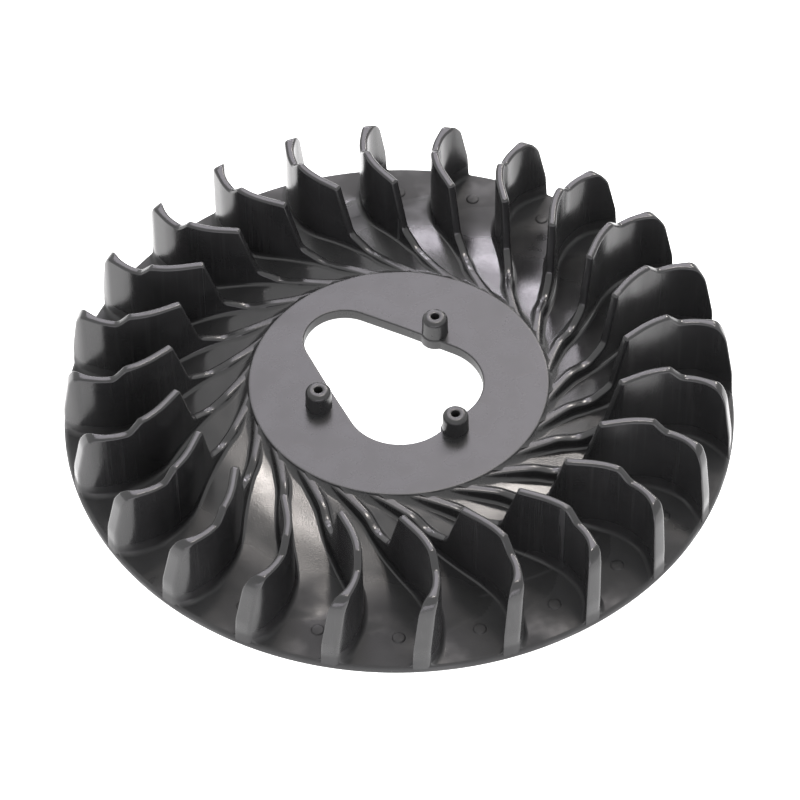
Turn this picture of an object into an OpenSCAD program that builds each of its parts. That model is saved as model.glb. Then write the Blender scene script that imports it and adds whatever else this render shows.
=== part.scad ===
// Cooling fan of a small engine's flywheel: a flat disc with a raised hub plate,
// sloping passage floors and a ring of thin swept blades, moulded in one material.
// Units are millimetres. The origin is the centre of the underside, on the
// crankshaft axis. +Z points along the axis, out of the bladed face.

/* [Disc] */
// Outside diameter of the disc
disc_d = 180; // [175:1:190]
// Thickness of the disc at the rim
disc_t = 2; // [1.5:0.1:3]
// Diameter of the hollow under the disc
hollow_d = 140; // [136:1:144]

/* [Hub] */
// Diameter of the raised hub plate
hub_d = 80.6; // [78:0.2:82]
// Height of the hub's flat face above the underside
hub_h = 11.5; // [11.4:0.1:13]
// Thickness of the hub plate
hub_t = 3.4; // [3:0.1:4]
// Chamfer round the top of the hub plate
hub_chamfer = 1; // [0.5:0.1:1.4]
// Thickness of the wall under the hub's rim
hub_wall_t = 2.4; // [2:0.1:3]
// Height of the bottom of the hub's outer wall
hub_wall_z = 6; // [5:0.5:7]

/* [Three-sided opening] */
// Direction of the long corner, in degrees from +X
opening_turn = 134; // [130:1:138]
// Distance from the axis to the centre of the long corner's round
long_corner_u = 21; // [19:0.5:22]
// Radius of the long corner's round
long_corner_r = 10.8; // [10:0.2:12]
// How far behind the axis the two short corners' rounds are centred
short_corner_u = 6.2; // [5:0.2:7]
// Half the distance between the centres of the two short corners' rounds
short_corner_w = 5.4; // [4:0.2:7]
// Radius of the two short corners' rounds
short_corner_r = 14.4; // [13.6:0.2:15]

/* [Locating pegs] */
// Distance of the first peg from the axis
peg_reach_1 = 20.4; // [20:0.1:22]
// Distance of the second and third pegs from the axis
peg_reach_2 = 22.8; // [22:0.1:24]
// Direction of the first peg, in degrees from +X
peg_turn_1 = 60.5; // [58:0.5:63]
// Direction of the second peg
peg_turn_2 = 201; // [198:0.5:204]
// Direction of the third peg
peg_turn_3 = 310.5; // [307:0.5:313]
// Radius of a peg
peg_r = 3.6; // [3:0.1:4]
// Height of a peg above the hub face
peg_h = 5.8; // [4.5:0.1:7]
// Height of the tapered tip of a peg
peg_tip_h = 1.3; // [0.6:0.1:1.6]
// Radius of the flat on top of a peg
peg_tip_r = 2.4; // [2:0.1:3]
// Radius of the dimple in the top of a peg
dimple_r = 1.1; // [0.6:0.1:1.4]
// Depth of the dimple in the top of a peg
dimple_depth = 3; // [1:0.5:4]

/* [Blades] */
// Number of blades
blade_count = 24; // [24]
// Wall thickness of a blade
blade_t = 2.4; // [2:0.1:2.6]
// Thickness of a blade at its outer end
blade_end_t = 3.5; // [2.6:0.1:3.6]

/* [Passage floors] */
// Height at which the plane of a passage floor crosses the axis
floor_z = 12.07; // [11.9:0.01:12.2]
// Slope of a passage floor, in degrees
floor_slope = 11.1; // [10.8:0.1:11.4]
// Direction in which a passage floor falls, in degrees ahead of its own blade
floor_fall = 151; // [149:1:153]
// Thickness of a passage floor
floor_t = 2.4; // [2:0.1:3]

/* [Hidden] */
// Centre line of blade 1 seen from above: radius, degrees from +X
line = [[36, 54], [38, 60.5], [42, 71.5], [46, 78.5], [50, 82.3], [55, 86.3], [60, 90.2],
    [66, 94.2], [72, 96.2], [79, 96.4], [85, 95], [90, 92.7], [93, 91]];
// Top and outer edge of blade 1 seen from the side: distance from the axis, height
edge = [[36, 11.4], [40, 10.8], [44, 10.5], [47, 9.9], [50, 9.3], [53.5, 9.8],
    [55.8, 11.4], [57, 13.2], [59.9, 26.4], [60.6, 26.7], [71.4, 26.6], [72.8, 25.4],
    [74.2, 23.9], [75.6, 23.5], [83, 23.8], [85, 23.4], [86.4, 22.6], [87.1, 21.4],
    [88.6, 16], [89.4, 10], [89.8, 2]];
// Points that the centre line gets for each of its stations
line_steps = 3;
// Radii between which a blade thickens to its outer end
swell_r = [81, 87];
// Radius at which a passage floor has run out into the disc
floor_out_r = 80;
// Plate left around the foot of a peg where it stands at the opening's edge
peg_land = 0.3;
// A length well beyond the whole part
far = 200;

pitch = 360 / blade_count;
disc_r = disc_d / 2;
hub_r = hub_d / 2;
hollow_r = hollow_d / 2;
plastic = [0.16, 0.16, 0.17];
peg_turns = [peg_turn_1, peg_turn_2, peg_turn_3];
peg_reaches = [peg_reach_1, peg_reach_2, peg_reach_2];
$fn = 96;

// A name such as blade_07
function numbered(name, k) = str(name, k < 10 ? "_0" : "_", k);

// A point on the smooth curve through four stations, between the middle two
function between(a, b, c, d, t) =
    0.5 * (2 * b + (c - a) * t + (2 * a - 5 * b + 4 * c - d) * t * t
    + (3 * b - a - 3 * c + d) * t * t * t);

// The blade's centre line with points between its stations, in x and y
fine_line = [
    for (i = [1:len(line) - 3], s = [0:line_steps - 1])
        between(line[i - 1], line[i], line[i + 1], line[i + 2], s / line_steps),
    line[len(line) - 2]];
centre = [for (p = fine_line) p[0] * [cos(p[1]), sin(p[1])]];

// Direction of the centre line at one of its points
function along(i) =
    let (v = centre[min(i + 1, len(centre) - 1)] - centre[max(i - 1, 0)])
    v / norm(v);

// Half the thickness of a blade at a radius
function half_wall(r) =
    let (share = max(0, min(1, (r - swell_r[0]) / (swell_r[1] - swell_r[0]))))
    (blade_t + (blade_end_t - blade_t) * share) / 2;

// One face of blade 1: side is 1 for its leading face and -1 for its trailing face
function face(side) = [for (i = [0:len(centre) - 1])
    centre[i] + side * half_wall(fine_line[i][0]) * [-along(i)[1], along(i)[0]]];

function turned(points, a) = [for (p = points)
    [p[0] * cos(a) - p[1] * sin(a), p[0] * sin(a) + p[1] * cos(a)]];

function backwards(points) = [for (i = [len(points) - 1:-1:0]) points[i]];

leading = face(1);
trailing = face(-1);

// Places its children as those of blade k: the blades are numbered clockwise
module at_blade(k) {
    rotate([0, 0, -(k - 1) * pitch]) children();
}

// Everything below the plane of floor 1, less a depth measured square to it
module below_floor(depth) {
    translate([0, 0, floor_z]) rotate([0, 0, floor_fall]) rotate([0, floor_slope, 0])
        translate([-far, -far, -far - depth]) cube([2 * far, 2 * far, far]);
}

// The flat ring that carries the outer part of the blades
module disc() {
    color(plastic) difference() {
        cylinder(r = disc_r, h = disc_t);
        translate([0, 0, -1]) cylinder(r = hollow_r, h = disc_t + 2);
    }
}

// Outline of the opening: three rounds joined by straight tangents
module opening_outline() {
    corners = [[long_corner_u, 0, long_corner_r],
        [-short_corner_u, short_corner_w, short_corner_r],
        [-short_corner_u, -short_corner_w, short_corner_r]];
    rotate([0, 0, opening_turn]) {
        for (c = corners) translate([c[0], c[1]]) circle(r = c[2]);
        polygon([for (i = [0:2]) each tangent_points(corners[i], corners[(i + 1) % 3])]);
    }
}

// Where the outer tangent of two rounds, taken anticlockwise, leaves and meets them
function tangent_points(a, b) =
    let (
        d = [b[0] - a[0], b[1] - a[1]],
        n = atan2(d[1], d[0]) - acos((a[2] - b[2]) / norm(d)),
        out = [cos(n), sin(n)])
    [[a[0], a[1]] + a[2] * out, [b[0], b[1]] + b[2] * out];

// The raised plate round the opening, with the wall that hangs from its edge
module hub() {
    plate_z = hub_h - hub_t;
    color(plastic) union() {
        difference() {
            union() {
                translate([0, 0, plate_z]) cylinder(r = hub_r, h = hub_t - hub_chamfer);
                translate([0, 0, hub_h - hub_chamfer])
                    cylinder(r1 = hub_r, r2 = hub_r - hub_chamfer, h = hub_chamfer);
            }
            translate([0, 0, plate_z - 1]) linear_extrude(hub_t + 2) difference() {
                opening_outline();
                for (k = [0:2]) rotate([0, 0, peg_turns[k]])
                    translate([peg_reaches[k], 0]) circle(r = peg_r + peg_land);
            }
        }
        translate([0, 0, hub_wall_z]) difference() {
            cylinder(r = hub_r, h = plate_z - hub_wall_z);
            translate([0, 0, -1]) cylinder(r = hub_r - hub_wall_t, h = plate_z - hub_wall_z + 2);
        }
    }
}

// One of the pegs that stand on the hub face and locate what is fitted over it
module peg(k) {
    top = hub_h + peg_h;
    color(plastic) rotate([0, 0, peg_turns[k - 1]]) translate([peg_reaches[k - 1], 0, 0])
        rotate_extrude() polygon([[0, hub_h], [peg_r, hub_h], [peg_r, top - peg_tip_h],
            [peg_tip_r, top], [dimple_r, top], [dimple_r, top - dimple_depth],
            [0, top - dimple_depth]]);
}

// One blade: a thin wall from the hub to the rim, low near the hub and tall outside
module blade(k) {
    color(plastic) at_blade(k) difference() {
        intersection() {
            linear_extrude(far) polygon(concat(leading, backwards(trailing)));
            rotate([90, 0, 90]) translate([0, 0, -far / 2]) linear_extrude(far)
                polygon(concat(edge, [[edge[len(edge) - 1][0], 0], [edge[0][0], 0]]));
        }
        translate([0, 0, -1]) cylinder(r = hub_r, h = far);
        disc_space();
        intersection() {
            hollow();
            rotate([0, 0, -pitch]) below_floor(floor_t);
        }
    }
}

// The space that the disc takes up
module disc_space() {
    difference() {
        translate([0, 0, -1]) cylinder(r = disc_r + 1, h = disc_t + 1);
        translate([0, 0, -2]) cylinder(r = hollow_r, h = disc_t + 3);
    }
}

// The round space above the hollow of the disc
module hollow() {
    translate([0, 0, -1]) cylinder(r = hollow_r, h = far);
}

// The sloping floor between blade k and the blade ahead of it
module passage_floor(k) {
    color(plastic) at_blade(k) difference() {
        intersection() {
            linear_extrude(hub_h) polygon(concat(turned(trailing, pitch), backwards(leading)));
            below_floor(0);
            cylinder(r = floor_out_r, h = hub_h);
        }
        translate([0, 0, -1]) cylinder(r = hub_r, h = far);
        disc_space();
        intersection() {
            hollow();
            below_floor(floor_t);
        }
    }
}

disc();
hub();
for (k = [1:3]) peg(k);
for (k = [1:blade_count]) blade(k);
for (k = [1:blade_count]) passage_floor(k);
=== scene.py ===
"""The looks of a small engine's moulded cooling fan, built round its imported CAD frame."""

import math

import bpy
import numpy as np
from mathutils import Matrix, Vector


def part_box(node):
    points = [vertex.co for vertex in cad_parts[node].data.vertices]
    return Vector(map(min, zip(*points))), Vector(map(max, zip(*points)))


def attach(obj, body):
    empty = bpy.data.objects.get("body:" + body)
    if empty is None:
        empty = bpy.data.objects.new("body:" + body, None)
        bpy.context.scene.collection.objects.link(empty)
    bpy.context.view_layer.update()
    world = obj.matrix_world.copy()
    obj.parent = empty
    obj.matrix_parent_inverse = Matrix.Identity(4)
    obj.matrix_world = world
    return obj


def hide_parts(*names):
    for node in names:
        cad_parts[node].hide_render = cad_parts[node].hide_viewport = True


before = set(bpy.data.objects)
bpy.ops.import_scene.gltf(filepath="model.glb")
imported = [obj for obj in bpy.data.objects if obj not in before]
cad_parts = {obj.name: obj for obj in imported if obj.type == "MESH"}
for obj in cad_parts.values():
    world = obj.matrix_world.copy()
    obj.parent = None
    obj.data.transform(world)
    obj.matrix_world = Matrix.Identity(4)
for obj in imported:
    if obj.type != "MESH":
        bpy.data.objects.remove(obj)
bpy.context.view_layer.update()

MM = 0.001
BODY = "root"

# ---------------------------------------------------------------- sizes from the frame

disc_low, disc_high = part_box("disc")
hub_low, hub_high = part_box("hub")
DISC_R = min(-disc_low.x, disc_high.x, -disc_low.y, disc_high.y)
DISC_TOP = disc_high.z
HUB_R = hub_high.x
HUB_TOP = hub_high.z
HUB_WALL_FOOT = hub_low.z
BLADES = sorted(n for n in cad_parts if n.startswith("blade_"))
FLOORS = sorted(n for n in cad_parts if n.startswith("floor_"))
PEGS = sorted(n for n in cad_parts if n.startswith("peg_"))
PITCH = math.tau / len(BLADES)
PEG_BOXES = {node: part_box(node) for node in PEGS}
PEG_CENTRES = {node: (low + high) / 2 for node, (low, high) in PEG_BOXES.items()}
PEG_R = (PEG_BOXES[PEGS[0]][1].x - PEG_BOXES[PEGS[0]][0].x) / 2

# ---------------------------------------------------------------- the design's own numbers

HOLLOW_R = 70 * MM
PLATE_T = 3.4 * MM
HUB_WALL_T = 2.4 * MM
FLOOR_T = 2.4 * MM
FLOOR_AXIS_Z = 12.07 * MM
FLOOR_SLOPE = math.tan(math.radians(11.1))
FLOOR_FALL = math.radians(151)

OPENING_TURN = math.radians(134)
# The opening's three rounds: centre along and across the direction of the long corner, and radius
OPENING_ROUNDS = [(21 * MM, 0, 10.8 * MM),
                  (-6.2 * MM, 5.4 * MM, 14.4 * MM),
                  (-6.2 * MM, -5.4 * MM, 14.4 * MM)]
PEG_LAND = 0.3 * MM

# The blade's centre line seen from above: radius in mm, degrees from +X
LINE = [(36, 54), (38, 60.5), (42, 71.5), (46, 78.5), (50, 82.3), (55, 86.3), (60, 90.2),
        (66, 94.2), (72, 96.2), (79, 96.4), (85, 95), (90, 92.7), (93, 91)]

# The blade's top and outer edge seen from the side: distance outwards, height, corner radius, in mm
EDGE = [(34.5, 11.1, 0), (45.6, 10.4, 14), (50.6, 9.0, 6), (56.3, 11.3, 3), (59.9, 26.6, 0.9),
        (71.9, 26.6, 1.6), (75, 23.5, 2.2), (85.4, 23.8, 3), (87.4, 20.5, 6), (89.4, 9, 12),
        (89.75, 1.4, 0)]

# Half the thickness of a blade at its foot and at its top, and how far its top is above the disc
WALL_FOOT_HALF = 1.25 * MM
WALL_TOP_HALF = 1.15 * MM
WALL_H = 25 * MM
# A blade grows by this much on each side between these two radii, towards its outer end
SWELL_HALF = 0.55 * MM
SWELL_FROM, SWELL_TO = 81 * MM, 87 * MM
# Between these two radii the step across a blade turns from square to the line to along the rim
ALONG_RIM_FROM, ALONG_RIM_TO = 72 * MM, 82 * MM
EDGE_ROUND = 0.7 * MM
FOOT_FILLET = 1.2 * MM

RIM_ROUND = 1.2 * MM
RIM_LOW_ROUND = 0.45 * MM
OPENING_ROUND = 0.35 * MM
HUB_ROUND = 0.4 * MM
# The slope from the hub's rim down to the floors: height lost for each unit outwards
HUB_SLOPE = 1.0
# What lies inside the hub's wall by this much is kept this far below the hub's face
HUB_INSIDE = 0.3 * MM
HUB_COVER = 1.3 * MM

# The floors are slightly crowned along their length, round this radius
CROWN = 0.35 * MM
CROWN_AT, CROWN_SPREAD = 54 * MM, 6 * MM
# Near the rim the floors run out below the face of the disc: how far, and between which radii
RUN_OUT = 1.7 * MM
RUN_FROM, RUN_TO = 75 * MM, 83 * MM
FLOOR_END = 84 * MM

# The round ejector mark in each passage: its radius, distance from the axis and direction
MARK_R = 1.7 * MM
MARK_REACH = 80 * MM
MARK_TURN = math.radians(89.3)

# Two surfaces that meet run into each other over this height
CREASE = 0.35 * MM
# How far a piece reaches into the one that it stands on
SINK = 0.3 * MM
# Keeps faces that would coincide apart
SLIVER = 0.02 * MM


# ---------------------------------------------------------------- small helpers

def about_axis(points, angle):
    """The points turned about the part's axis."""
    turn = Matrix.Rotation(angle, 4, "Z")
    return [turn @ Vector(p) for p in points]


def arc(pieces):
    """Evenly spaced angles from 0 to a quarter turn."""
    return np.linspace(0, math.pi / 2, pieces + 1)


def quarter_round(radius, pieces):
    """Distances of a rounded edge's points from the face where it starts and the face where it ends."""
    return [(radius * (1 - math.cos(q)), radius * (1 - math.sin(q))) for q in arc(pieces)]


def add_mesh(name, points, faces, smooth_angle=40):
    """A mesh object from points in metres, smooth except at edges sharper than the angle."""
    mesh = bpy.data.meshes.new(name)
    mesh.from_pydata([tuple(p) for p in points], [], faces)
    mesh.validate()
    mesh.shade_smooth()
    mesh.set_sharp_from_angle(angle=math.radians(smooth_angle))
    piece = bpy.data.objects.new(name, mesh)
    bpy.context.scene.collection.objects.link(piece)
    return piece


def hand_over(piece, node, material):
    """Puts a finished piece in the place of a CAD node."""
    piece.data.materials.append(material)
    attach(piece, BODY)
    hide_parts(node)


def ring_faces(columns, rows, closed=False):
    """Quads over columns of points, each a ring of rows, with end faces unless the columns close up."""
    faces = []
    for i in range(columns if closed else columns - 1):
        j = (i + 1) % columns
        for k in range(rows):
            m = (k + 1) % rows
            faces.append((i * rows + k, j * rows + k, j * rows + m, i * rows + m))
    if not closed:
        faces.append(tuple(range(rows)))
        faces.append(tuple(reversed(range((columns - 1) * rows, columns * rows))))
    return faces


def catmull_rom(stations, steps):
    """Points on the smooth curve through all stations but the first and last."""
    s = np.array(stations, float)
    out = []
    for i in range(1, len(s) - 2):
        a, b, c, d = s[i - 1:i + 3]
        for t in np.arange(steps) / steps:
            out.append(0.5 * (2 * b + (c - a) * t + (2 * a - 5 * b + 4 * c - d) * t**2
                              + (3 * b - a - 3 * c + d) * t**3))
    out.append(s[-2])
    return np.array(out)


def rounded_line(corners, spacing):
    """An open line through corners, each rounded to its radius, with points at most spacing apart."""
    p = np.array([c[:2] for c in corners], float)
    line = [p[0]]
    for i in range(1, len(p) - 1):
        to_last, to_next = p[i - 1] - p[i], p[i + 1] - p[i]
        to_last, to_next = to_last / np.linalg.norm(to_last), to_next / np.linalg.norm(to_next)
        half = math.acos(np.clip(to_last @ to_next, -1, 1)) / 2
        radius = corners[i][2]
        reach = radius / math.tan(half)
        middle = (to_last + to_next) / np.linalg.norm(to_last + to_next)
        centre = p[i] + middle * radius / math.sin(half)
        start, end = p[i] + to_last * reach - centre, p[i] + to_next * reach - centre
        sweep = math.pi - 2 * half
        side = math.copysign(1, start[0] * end[1] - start[1] * end[0])
        pieces = max(2, math.ceil(sweep / math.radians(12)))
        for a in np.linspace(0, side * sweep, pieces + 1):
            line.append(centre + np.array([start[0] * math.cos(a) - start[1] * math.sin(a),
                                           start[0] * math.sin(a) + start[1] * math.cos(a)]))
    line.append(p[-1])
    dense = [line[0]]
    for a, b in zip(line[:-1], line[1:]):
        n = max(1, math.ceil(np.linalg.norm(b - a) / spacing))
        dense += [a + (b - a) * k / n for k in range(1, n + 1)]
    return np.array(dense)


# ---------------------------------------------------------------- the blade's line and the floors

polar = catmull_rom(LINE, 14)
LINE_XY = np.stack([polar[:, 0] * np.cos(np.radians(polar[:, 1])),
                    polar[:, 0] * np.sin(np.radians(polar[:, 1]))], 1) * MM
LINE_R = np.linalg.norm(LINE_XY, axis=1)
LINE_S = np.concatenate([[0], np.cumsum(np.linalg.norm(np.diff(LINE_XY, axis=0), axis=1))])
LINE_T = np.gradient(LINE_XY, LINE_S, axis=0)


def rise(value, low, high):
    """A smooth step from 0 at low to 1 at high."""
    share = min(max((value - low) / (high - low), 0), 1)
    return share * share * (3 - 2 * share)


def line_point(s, lateral=0):
    """The point at length s along blade 1's centre line, and lateral to its leading side.

    Near the hub the step sideways is square to the line, and near the rim it follows the rim."""
    x, y = (np.interp(s, LINE_S, LINE_XY[:, i]) for i in (0, 1))
    tangent = np.array([np.interp(s, LINE_S, LINE_T[:, i]) for i in (0, 1)])
    tx, ty = tangent / np.linalg.norm(tangent)
    slide = rise(math.hypot(x, y), ALONG_RIM_FROM, ALONG_RIM_TO)
    slide *= lateral * (x * ty - y * tx) / (x * tx + y * ty)
    return np.array([x - ty * lateral + tx * slide, y + tx * lateral + ty * slide])


def swell(s):
    """What a blade gains in half its thickness at length s, towards its outer end."""
    return SWELL_HALF * rise(np.interp(s, LINE_S, LINE_R), SWELL_FROM, SWELL_TO)


def disc_surface(r):
    """Height of the top of the disc, which is rounded at the rim."""
    past = min(max(r - (DISC_R - RIM_ROUND), 0), RIM_ROUND)
    return DISC_TOP - RIM_ROUND + math.sqrt(RIM_ROUND**2 - past**2)


def floor_plane(x, y, passage):
    """Height of the plane of a passage floor: 0 is ahead of blade 1 and 1 is behind it."""
    fall = FLOOR_FALL - passage * PITCH
    run_out = RUN_OUT * rise(math.hypot(x, y), RUN_FROM, RUN_TO)
    return FLOOR_AXIS_Z - FLOOR_SLOPE * (x * math.cos(fall) + y * math.sin(fall)) - run_out


def soft_max(a, b, crease):
    """The larger of two heights, with a rounded change-over where they are closer than the crease."""
    return max(a, b) + max(crease - abs(a - b), 0)**2 / (4 * crease)


def floor_height(x, y, passage):
    """Height of the surface in a passage: the floor, the slope up to the hub's rim, and the disc."""
    r = math.hypot(x, y)
    if r < HUB_R - HUB_INSIDE:
        return HUB_TOP - HUB_COVER
    beside_hub = HUB_TOP - HUB_ROUND - HUB_SLOPE * (r - HUB_R)
    crown = CROWN * math.exp(-0.5 * ((r - CROWN_AT) / CROWN_SPREAD)**2)
    sloping = soft_max(floor_plane(x, y, passage) + crown, beside_hub, 3 * CREASE)
    return soft_max(sloping, disc_surface(r), CREASE)


def under_height(x, y):
    """The height that the foot of blade 1's wall goes down to."""
    if math.hypot(x, y) > HOLLOW_R:
        return disc_surface(math.hypot(x, y)) - SINK
    return max(floor_plane(x, y, 1) - FLOOR_T, 0) + SLIVER


# ---------------------------------------------------------------- blades

def blade_section(s, z, out_s, out_z, foot_s):
    """The ring of points round blade 1's wall at one station.

    (s, z) is the station's point on the edge, as a length along the line and a height, and
    (out_s, out_z) is the direction that the edge faces there. The foot is at the length foot_s."""
    foot_low = under_height(*line_point(foot_s))
    share = np.clip((z - DISC_TOP) / WALL_H, 0, 1)
    half = WALL_FOOT_HALF + (WALL_TOP_HALF - WALL_FOOT_HALF) * share + swell(s)
    foot_half = WALL_FOOT_HALF + swell(foot_s)
    faces_up = out_z > 0.7

    def side_points(side):
        """Length, lateral step and height of the points on one side, from the foot to the edge."""
        passage = 0 if side > 0 else 1
        gap = z - floor_height(*line_point(foot_s, side * foot_half), passage)
        room = max(gap, 0.1 * MM)
        climb = min(FOOT_FILLET, 0.5 * room)
        edge_round = min(EDGE_ROUND, room - climb) if faces_up else EDGE_ROUND
        points = []
        for a in arc(5):
            lateral = side * (foot_half + FOOT_FILLET * (1 - math.sin(a)))
            height = floor_height(*line_point(foot_s, lateral), passage) + min(gap - room, 0)
            points.append((foot_s, lateral, height + climb * (1 - math.cos(a))))
        for a in arc(4):
            inset = edge_round * (1 - math.sin(a))
            lateral = side * (half - EDGE_ROUND * (1 - math.cos(a)))
            points.append((s - out_s * inset, lateral, z - out_z * inset))
        lateral, height = points[0][1], points[0][2] - SINK
        bottom = (foot_s, side * foot_half, foot_low)
        in_wall = (foot_s, side * foot_half, max(height, foot_low + 1.5 * SLIVER))
        return [bottom, in_wall, (foot_s, lateral, height)] + points

    ring = side_points(-1) + side_points(1)[::-1]
    return [(*line_point(at_s, lateral), height) for at_s, lateral, height in ring]


def make_blade(name, k, material):
    """The wall of one blade, with rounded edges and a fillet along both feet."""
    corners = [(np.interp(y * MM, LINE_XY[:, 1], LINE_S), z * MM, r * MM) for y, z, r in EDGE]
    edge = rounded_line(corners, 1.2 * MM)
    along = np.gradient(edge, axis=0)
    along /= np.linalg.norm(along, axis=1)[:, None]
    out = np.stack([-along[:, 1], along[:, 0]], 1)
    sections = []
    foot_s = 0
    for (s, z), (out_s, out_z) in zip(edge, out):
        # The feet never step back, so that no two sections cross
        foot_s = max(s - out_s * EDGE_ROUND, foot_s + 0.01 * MM)
        sections.append(blade_section(s, z, out_s, out_z, foot_s))
    points = about_axis([p for section in sections for p in section], -k * PITCH)
    piece = add_mesh(name + "_wall", points, ring_faces(len(sections), len(sections[0])))
    hand_over(piece, name, material)


# ---------------------------------------------------------------- passage floors

def make_floor(name, k, material):
    """The sloping floor ahead of one blade, running out into the disc."""
    start = HUB_R - 2 * HUB_INSIDE
    # A station is a length along the blade's line, and whether it lies over the hollow
    stations = [(s, r < HOLLOW_R) for s, r in zip(LINE_S, LINE_R) if start < r < FLOOR_END]
    at_edge = np.interp(HOLLOW_R, LINE_R, LINE_S)
    stations += [(at_edge, True), (at_edge + 0.001 * MM, False)]
    rings = []
    for s, over_hollow in sorted(stations):
        x0, y0 = line_point(s)
        tops, bottoms = [], []
        for a in np.linspace(0, PITCH, 19):
            x, y = x0 * math.cos(a) - y0 * math.sin(a), x0 * math.sin(a) + y0 * math.cos(a)
            plane = floor_plane(x, y, 0)
            # Where the floor has run out below the face of the disc, its top is sunk into the disc
            sunk = min(max(DISC_TOP - CREASE - SINK / 2 - plane, 0), SINK)
            tops.append((x, y, floor_height(x, y, 0) + SLIVER / 2 - sunk))
            bottoms.append((x, y, max(plane - FLOOR_T, 0) if over_hollow else DISC_TOP / 2))
        # Every third point is enough for the underside
        rings.append(tops + bottoms[::-3])
    points = about_axis([p for ring in rings for p in ring], -k * PITCH)
    piece = add_mesh(name + "_slope", points, ring_faces(len(rings), len(rings[0])), 25)
    hand_over(piece, name, material)


# ---------------------------------------------------------------- hub and pegs

# Directions all round, and how far the opening's outline reaches in each of them
SWEEP = np.radians(np.arange(0, 360, 1.5))
SWEEP_COS, SWEEP_SIN = np.cos(SWEEP), np.sin(SWEEP)
SUPPORT = np.max([a * SWEEP_COS + b * SWEEP_SIN + r for a, b, r in OPENING_ROUNDS], axis=0)


def outside_opening(x, y):
    """Distance from the opening's outline, positive outside it, with the lands of the pegs taken out."""
    u = x * math.cos(OPENING_TURN) + y * math.sin(OPENING_TURN)
    w = -x * math.sin(OPENING_TURN) + y * math.cos(OPENING_TURN)
    distance = float(np.max(u * SWEEP_COS + w * SWEEP_SIN - SUPPORT))
    for centre in PEG_CENTRES.values():
        distance = max(distance, PEG_R + PEG_LAND - math.hypot(x - centre.x, y - centre.y))
    return distance


def opening_radius(angle):
    """Where a ray from the axis leaves the opening, found in steps that never pass its outline."""
    r = 8 * MM
    for _ in range(60):
        gap = -outside_opening(r * math.cos(angle), r * math.sin(angle))
        if gap < 0.001 * MM:
            break
        r += gap * 0.9
    return r


def make_hub(material):
    """The flat plate round the opening, with rounded edges and the wall under its rim."""
    angles = np.arange(360) * math.tau / 360
    rays = np.stack([np.cos(angles), np.sin(angles)], 1)
    inner = rays * np.array([[opening_radius(a)] for a in angles])
    tangent = np.roll(inner, -1, 0) - np.roll(inner, 1, 0)
    tangent /= np.linalg.norm(tangent, axis=1)[:, None]
    into = np.stack([tangent[:, 1], -tangent[:, 0]], 1)
    plate_z = HUB_TOP - PLATE_T
    # The flat of the face starts this far inside its rounded edges
    border = 0.5 * MM
    # Each profile point is a distance from the opening's edge or from the axis, and a height
    at_opening = [(OPENING_ROUND, plate_z), (0, plate_z + OPENING_ROUND)]
    at_opening += [(away, HUB_TOP - down) for away, down in quarter_round(OPENING_ROUND, 5)]
    at_opening += [(OPENING_ROUND + border, HUB_TOP)]
    at_rim = [(HUB_R - HUB_ROUND - border, HUB_TOP)]
    at_rim += [(HUB_R - away, HUB_TOP - down) for down, away in quarter_round(HUB_ROUND, 5)]
    wall_in_r = HUB_R - HUB_WALL_T
    at_rim += [(HUB_R, HUB_WALL_FOOT), (wall_in_r, HUB_WALL_FOOT), (wall_in_r, plate_z)]
    points = []
    for ray, edge, inwards in zip(rays, inner, into):
        points += [(*(edge + inwards * depth), z) for depth, z in at_opening]
        points += [(*(ray * r), z) for r, z in at_rim]
    faces = [face[::-1] for face in ring_faces(len(rays), len(at_opening + at_rim), True)]
    hand_over(add_mesh("hub_plate", points, faces, 35), "hub", material)


def turned(profile, count, centre=(0, 0)):
    """Points and faces of a ring turned from a closed profile of (radius, height) points."""
    points = []
    for a in np.arange(count) * math.tau / count:
        points += [(centre[0] + r * math.cos(a), centre[1] + r * math.sin(a), z) for r, z in profile]
    return points, ring_faces(count, len(profile), True)


def make_peg(node, material):
    """A slightly tapered peg with a rounded tip and a dimple."""
    low, high = PEG_BOXES[node]
    tip_round, dimple_r = 1.35 * MM, 1.15 * MM
    tip_r = PEG_R - 0.15 * MM
    # Points of the outline: a radius, and a height measured from the foot or from the top
    foot = [(SLIVER, -SINK), (PEG_R - 0.05 * MM, -SINK)]
    foot += [(PEG_R, 0.05 * MM), (PEG_R - 0.08 * MM, 0.4 * MM)]
    tip = [(tip_r - away, -down) for away, down in quarter_round(tip_round, 6)]
    tip += [(dimple_r + 0.25 * MM, 0), (dimple_r + 0.05 * MM, -0.07 * MM), (dimple_r, -0.25 * MM)]
    tip += [(dimple_r - 0.1 * MM, -2.8 * MM), (SLIVER, -3 * MM)]
    profile = [(r, low.z + z) for r, z in foot] + [(r, high.z + z) for r, z in tip]
    centre = PEG_CENTRES[node]
    piece = add_mesh(node + "_pin", *turned(profile, 48, (centre.x, centre.y)), 50)
    hand_over(piece, node, material)


# ---------------------------------------------------------------- disc

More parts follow.
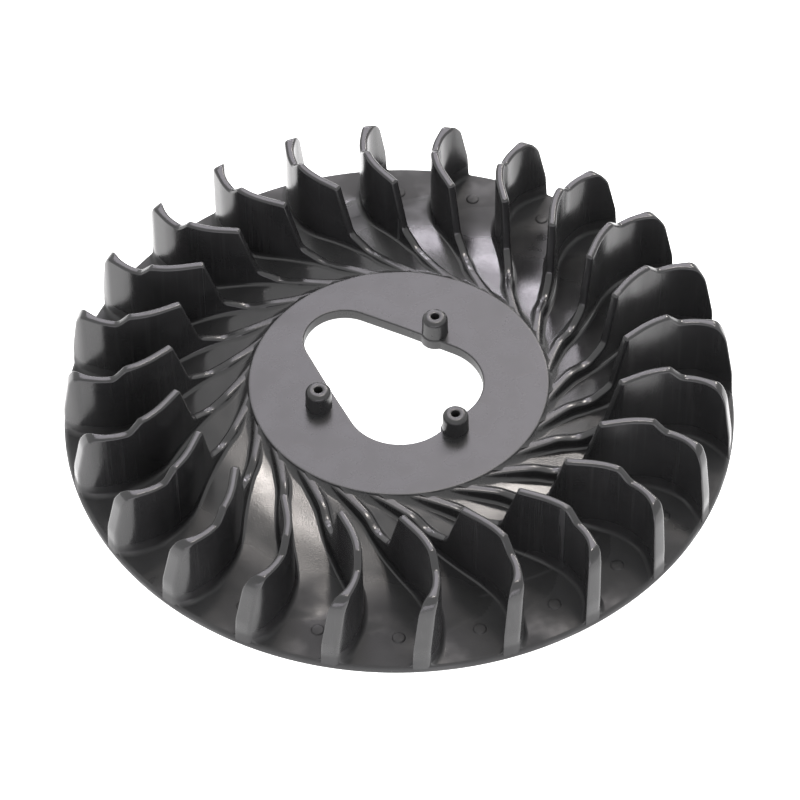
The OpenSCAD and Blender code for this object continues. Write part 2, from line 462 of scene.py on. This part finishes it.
def make_disc(material):
    """The flat ring under the blades, with softened rim edges and an ejector mark in each passage."""
    profile = [(HOLLOW_R, 0)]
    profile += [(DISC_R - away, up) for up, away in quarter_round(RIM_LOW_ROUND, 3)]
    profile += [(DISC_R - away, DISC_TOP - down) for away, down in quarter_round(RIM_ROUND, 6)]
    profile += [(HOLLOW_R, DISC_TOP)]
    points, faces = turned(profile, 288)
    # A mark's outline: a radius, and a height above the disc
    outline = [(MARK_R + 0.15 * MM, -0.1 * MM), (MARK_R + 0.1 * MM, 0.03 * MM),
               (MARK_R - 0.1 * MM, 0.25 * MM), (MARK_R - 0.4 * MM, 0.32 * MM)]
    outline = [(SLIVER, outline[0][1])] + outline + [(SLIVER, outline[-1][1])]
    mark = [(r, DISC_TOP + height) for r, height in outline]
    for k in range(len(BLADES)):
        angle = MARK_TURN - k * PITCH
        centre = (MARK_REACH * math.cos(angle), MARK_REACH * math.sin(angle))
        mark_points, mark_faces = turned(mark, 32, centre)
        faces += [tuple(i + len(points) for i in face) for face in mark_faces]
        points += mark_points
    hand_over(add_mesh("disc_ring", points, faces, 35), "disc", material)


# ---------------------------------------------------------------- material

def plastic_material():
    """Dark grey satin moulded plastic: fine grain, faint streaks, worn edges, matt towards the rim."""
    material = bpy.data.materials.new("moulded_plastic")
    material.use_nodes = True
    tree = material.node_tree
    nodes, links = tree.nodes, tree.links
    shader = nodes["Principled BSDF"]
    geometry = nodes.new("ShaderNodeNewGeometry")
    place = geometry.outputs["Position"]

    def noise(scale, detail, stretch=(1, 1, 1)):
        """Noise over the part, in which a stretch below 1 draws it out along that axis."""
        mapping = nodes.new("ShaderNodeMapping")
        mapping.inputs["Scale"].default_value = stretch
        links.new(place, mapping.inputs["Vector"])
        node = nodes.new("ShaderNodeTexNoise")
        node.inputs["Scale"].default_value = scale
        node.inputs["Detail"].default_value = detail
        links.new(mapping.outputs["Vector"], node.inputs["Vector"])
        return node.outputs["Fac"]

    def spread(value, low, high, value_low=0.3, value_high=0.7):
        """Maps value_low to low and value_high to high; the defaults suit noise."""
        node = nodes.new("ShaderNodeMapRange")
        node.inputs["From Min"].default_value = value_low
        node.inputs["From Max"].default_value = value_high
        node.inputs["To Min"].default_value = low
        node.inputs["To Max"].default_value = high
        links.new(value, node.inputs["Value"])
        return node.outputs["Result"]

    def maths(operation, a, b):
        node = nodes.new("ShaderNodeMath")
        node.operation = operation
        links.new(a, node.inputs[0])
        links.new(b, node.inputs[1])
        return node.outputs["Value"]

    def add(a, b):
        return maths("ADD", a, b)

    def times(a, b):
        return maths("MULTIPLY", a, b)

    def mix(share, a, b):
        node = nodes.new("ShaderNodeMix")
        node.data_type = "RGBA"
        for value, socket in ((a, "A"), (b, "B")):
            if isinstance(value, tuple):
                node.inputs[socket].default_value = value
            else:
                links.new(value, node.inputs[socket])
        links.new(share, node.inputs["Factor"])
        return node.outputs["Result"]

    flat = nodes.new("ShaderNodeVectorMath")
    flat.operation = "MULTIPLY"
    flat.inputs[1].default_value = (1, 1, 0)
    links.new(place, flat.inputs[0])
    reach = nodes.new("ShaderNodeVectorMath")
    reach.operation = "LENGTH"
    links.new(flat.outputs["Vector"], reach.inputs[0])
    radius = reach.outputs["Value"]
    split = nodes.new("ShaderNodeSeparateXYZ")
    links.new(place, split.inputs["Vector"])
    facing = nodes.new("ShaderNodeSeparateXYZ")
    links.new(geometry.outputs["True Normal"], facing.inputs["Vector"])

    low_down = spread(split.outputs["Z"], 1, 0, 4.2 * MM, 6.2 * MM)
    outwards = spread(radius, 0, 1, 61 * MM, 71 * MM)
    matt = times(times(outwards, low_down), spread(noise(60, 3), 0, 1, 0.25, 0.5))
    satin = spread(radius, 0.10, 0, 42 * MM, 46 * MM)
    upright = spread(facing.outputs["Z"], 1, 0, 0.2, 0.5)
    streaks = times(noise(900, 2, (1, 1, 0.04)), upright)
    wear = spread(geometry.outputs["Pointiness"], 0, 0.6, 0.53, 0.62)

    dark, light = (0.014, 0.014, 0.0145, 1), (0.022, 0.0218, 0.0225, 1)
    streaked, worn = (0.032, 0.032, 0.0325, 1), (0.048, 0.0475, 0.049, 1)
    body = mix(spread(noise(45, 4), 0, 1), dark, light)
    body = mix(spread(streaks, 0, 0.5, 0.55, 0.8), body, streaked)
    links.new(mix(wear, body, worn), shader.inputs["Base Color"])

    gloss = add(spread(noise(150, 5), 0.15, 0.22), spread(streaks, -0.01, 0.03))
    gloss = add(add(gloss, satin), spread(matt, 0, 0.42, 0, 1))
    links.new(add(gloss, spread(wear, 0, 0.18, 0, 0.6)), shader.inputs["Roughness"])

    bump = nodes.new("ShaderNodeBump")
    bump.inputs["Strength"].default_value = 0.10
    bump.inputs["Distance"].default_value = 0.2 * MM
    links.new(noise(2600, 2), bump.inputs["Height"])
    links.new(bump.outputs["Normal"], shader.inputs["Normal"])
    return material


def floor_material():
    """The white top of a light table."""
    material = bpy.data.materials.new("studio_floor")
    material.use_nodes = True
    shader = material.node_tree.nodes["Principled BSDF"]
    shader.inputs["Base Color"].default_value = (0.9, 0.9, 0.9, 1)
    shader.inputs["Roughness"].default_value = 0.9
    shader.inputs["Emission Color"].default_value = (1, 1, 1, 1)
    shader.inputs["Emission Strength"].default_value = 1.2
    return material


# ---------------------------------------------------------------- studio

def make_floor_plane():
    """The studio floor, a hair below the part so that the two don't coincide."""
    size, z = 4, -0.05 * MM
    corners = [(-size, -size, z), (size, -size, z), (size, size, z), (-size, size, z)]
    plane = add_mesh("studio_floor", corners, [(0, 1, 2, 3)])
    plane.data.materials.append(floor_material())


def make_camera():
    """The camera, looking at the centre of the underside and rolled slightly."""
    elevation, roll, distance = math.radians(48.28), math.radians(-0.886), 11.54 * DISC_R
    camera = bpy.data.objects.new("camera", bpy.data.cameras.new("camera"))
    camera.location = (0, -distance * math.cos(elevation), distance * math.sin(elevation))
    aim = (-camera.location).to_track_quat("-Z", "Y")
    camera.rotation_mode = "QUATERNION"
    camera.rotation_quaternion = aim @ Matrix.Rotation(roll, 3, "Z").to_quaternion()
    camera.data.sensor_width = 36
    camera.data.lens = 173.55
    camera.data.shift_x = 0.0012
    camera.data.shift_y = 0.0112
    camera.data.clip_end = 20
    bpy.context.scene.collection.objects.link(camera)
    bpy.context.scene.camera = camera


def add_softbox(name, size, radiance, colour, azimuth, elevation, distance=2.4):
    """A lamp that shows with the given radiance, from a direction in degrees seen from the part."""
    light = bpy.data.lights.new(name, "AREA")
    light.shape = "RECTANGLE"
    light.size, light.size_y = size
    light.color = colour
    light.energy = radiance * math.pi * light.size * light.size_y
    lamp = bpy.data.objects.new(name, light)
    a, e = math.radians(azimuth), math.radians(elevation)
    towards = Vector((math.cos(e) * math.cos(a), math.cos(e) * math.sin(a), math.sin(e)))
    lamp.location = towards * distance
    lamp.rotation_euler = (-lamp.location).to_track_quat("-Z", "Y").to_euler()
    bpy.context.scene.collection.objects.link(lamp)


def light_studio():
    """A large softbox behind the part, smaller panels round it and a low one in front, in a dim tent."""
    warm, cool = (1, 0.93, 0.88), (1, 0.94, 1.05)
    add_softbox("main_softbox", (0.8, 1.0), 3.75, cool, 90, 48.3)
    add_softbox("back_panel", (0.42, 0.20), 16, cool, 96, 25.5)
    add_softbox("middle_panel", (0.36, 0.28), 4.5, cool, 86.5, 26.5)
    add_softbox("front_panel", (3.6, 0.45), 3.2, cool, -90, 13)
    add_softbox("right_panel", (0.30, 0.27), 30, warm, 71, 39.5)
    add_softbox("high_panel", (0.22, 0.27), 50, warm, 76, 66.5)
    world = bpy.data.worlds.new("studio")
    world.use_nodes = True
    world.node_tree.nodes["Background"].inputs["Color"].default_value = (1, 1, 1, 1)
    world.node_tree.nodes["Background"].inputs["Strength"].default_value = 1.3
    bpy.context.scene.world = world
    bpy.context.scene.view_settings.view_transform = "Standard"


# ---------------------------------------------------------------- build

plastic = plastic_material()
make_camera()
light_studio()
make_floor_plane()
make_disc(plastic)
make_hub(plastic)
for peg in PEGS:
    make_peg(peg, plastic)
for k, blade in enumerate(BLADES):
    make_blade(blade, k, plastic)
for k, passage in enumerate(FLOORS):
    make_floor(passage, k, plastic)
